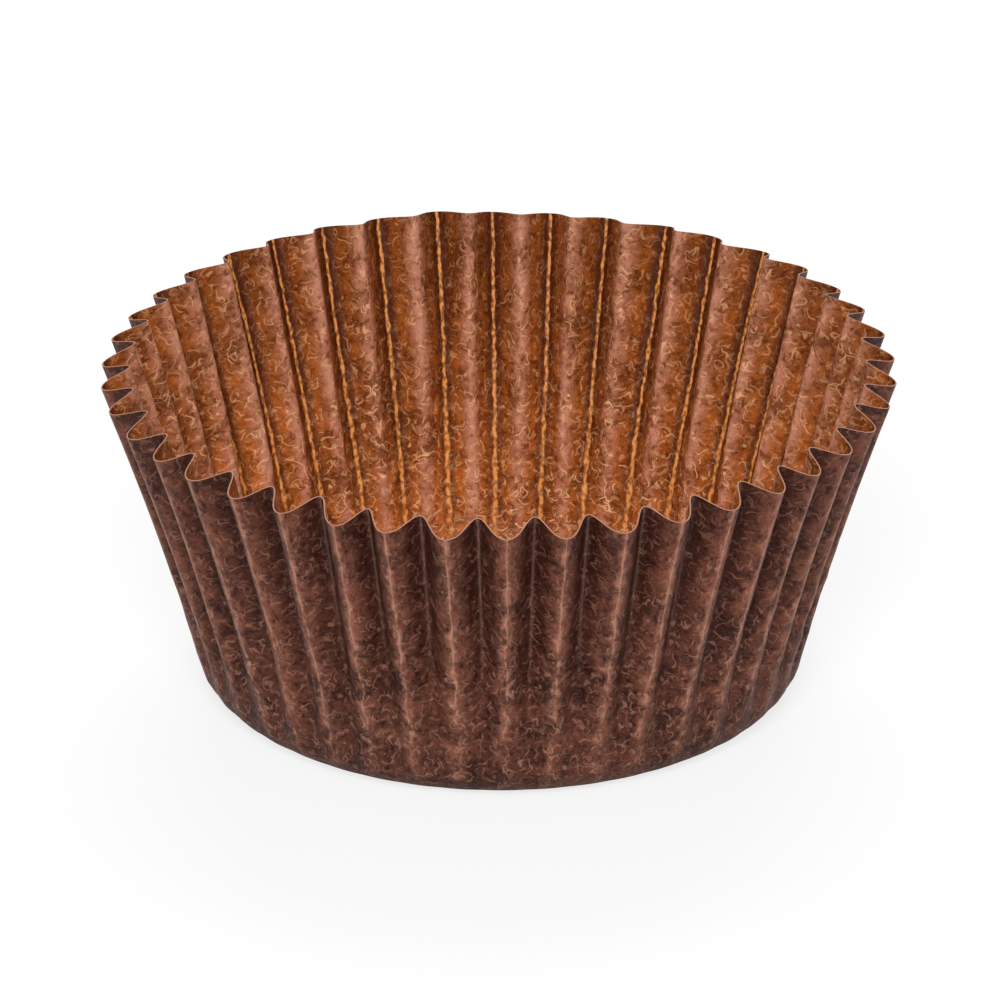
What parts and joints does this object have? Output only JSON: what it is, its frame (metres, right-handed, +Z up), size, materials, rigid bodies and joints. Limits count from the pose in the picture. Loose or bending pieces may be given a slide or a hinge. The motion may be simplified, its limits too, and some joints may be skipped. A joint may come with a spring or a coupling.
{
  "type": "cupcake liner",
  "caption": "Round paper baking cup: a flat round base with a softly bent edge and a flared, fluted wall with a plain cut rim.",
  "frame": {"origin": "centre of the underside of the flat base", "axes": "+Z up out of the open mouth, +X through an outer ridge of the fluted wall"},
  "size_m": [0.07, 0.0698, 0.0303],
  "materials": {
    "paper": "matt dark brown greaseproof paper, slightly see-through"
  },
  "bodies": {
    "root": {"liner": "paper"}
  },
  "joints": []
}
